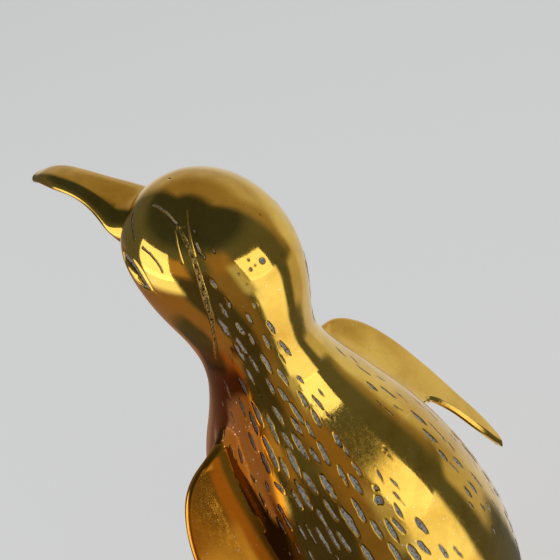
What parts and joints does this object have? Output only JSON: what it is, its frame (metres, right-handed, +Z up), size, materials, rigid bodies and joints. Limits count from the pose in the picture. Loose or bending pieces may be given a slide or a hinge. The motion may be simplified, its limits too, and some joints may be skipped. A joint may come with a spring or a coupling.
{
  "type": "penguin figurine",
  "caption": "Hollow polished brass penguin standing upright, with a long drooping bill, spread flippers, webbed feet and a short tail, and feather marks cut along its back.",
  "frame": {"origin": "middle of the figure's bounding box in X and Y, on the ground under its feet", "axes": "+Z up, -Y the way the figure faces, +X towards the figure's own left side"},
  "size_m": [0.1562, 0.16, 0.2724],
  "materials": {
    "polished_brass": "polished",
    "cast_brass": "as cast, dull"
  },
  "bodies": {
    "root": {"body_left_half": "polished_brass", "body_right_half": "polished_brass", "bill": "polished_brass", "left_flipper": "polished_brass", "right_flipper": "polished_brass", "left_foot": "polished_brass", "right_foot": "polished_brass", "tail": "polished_brass", "base_plate": "cast_brass"}
  },
  "joints": []
}
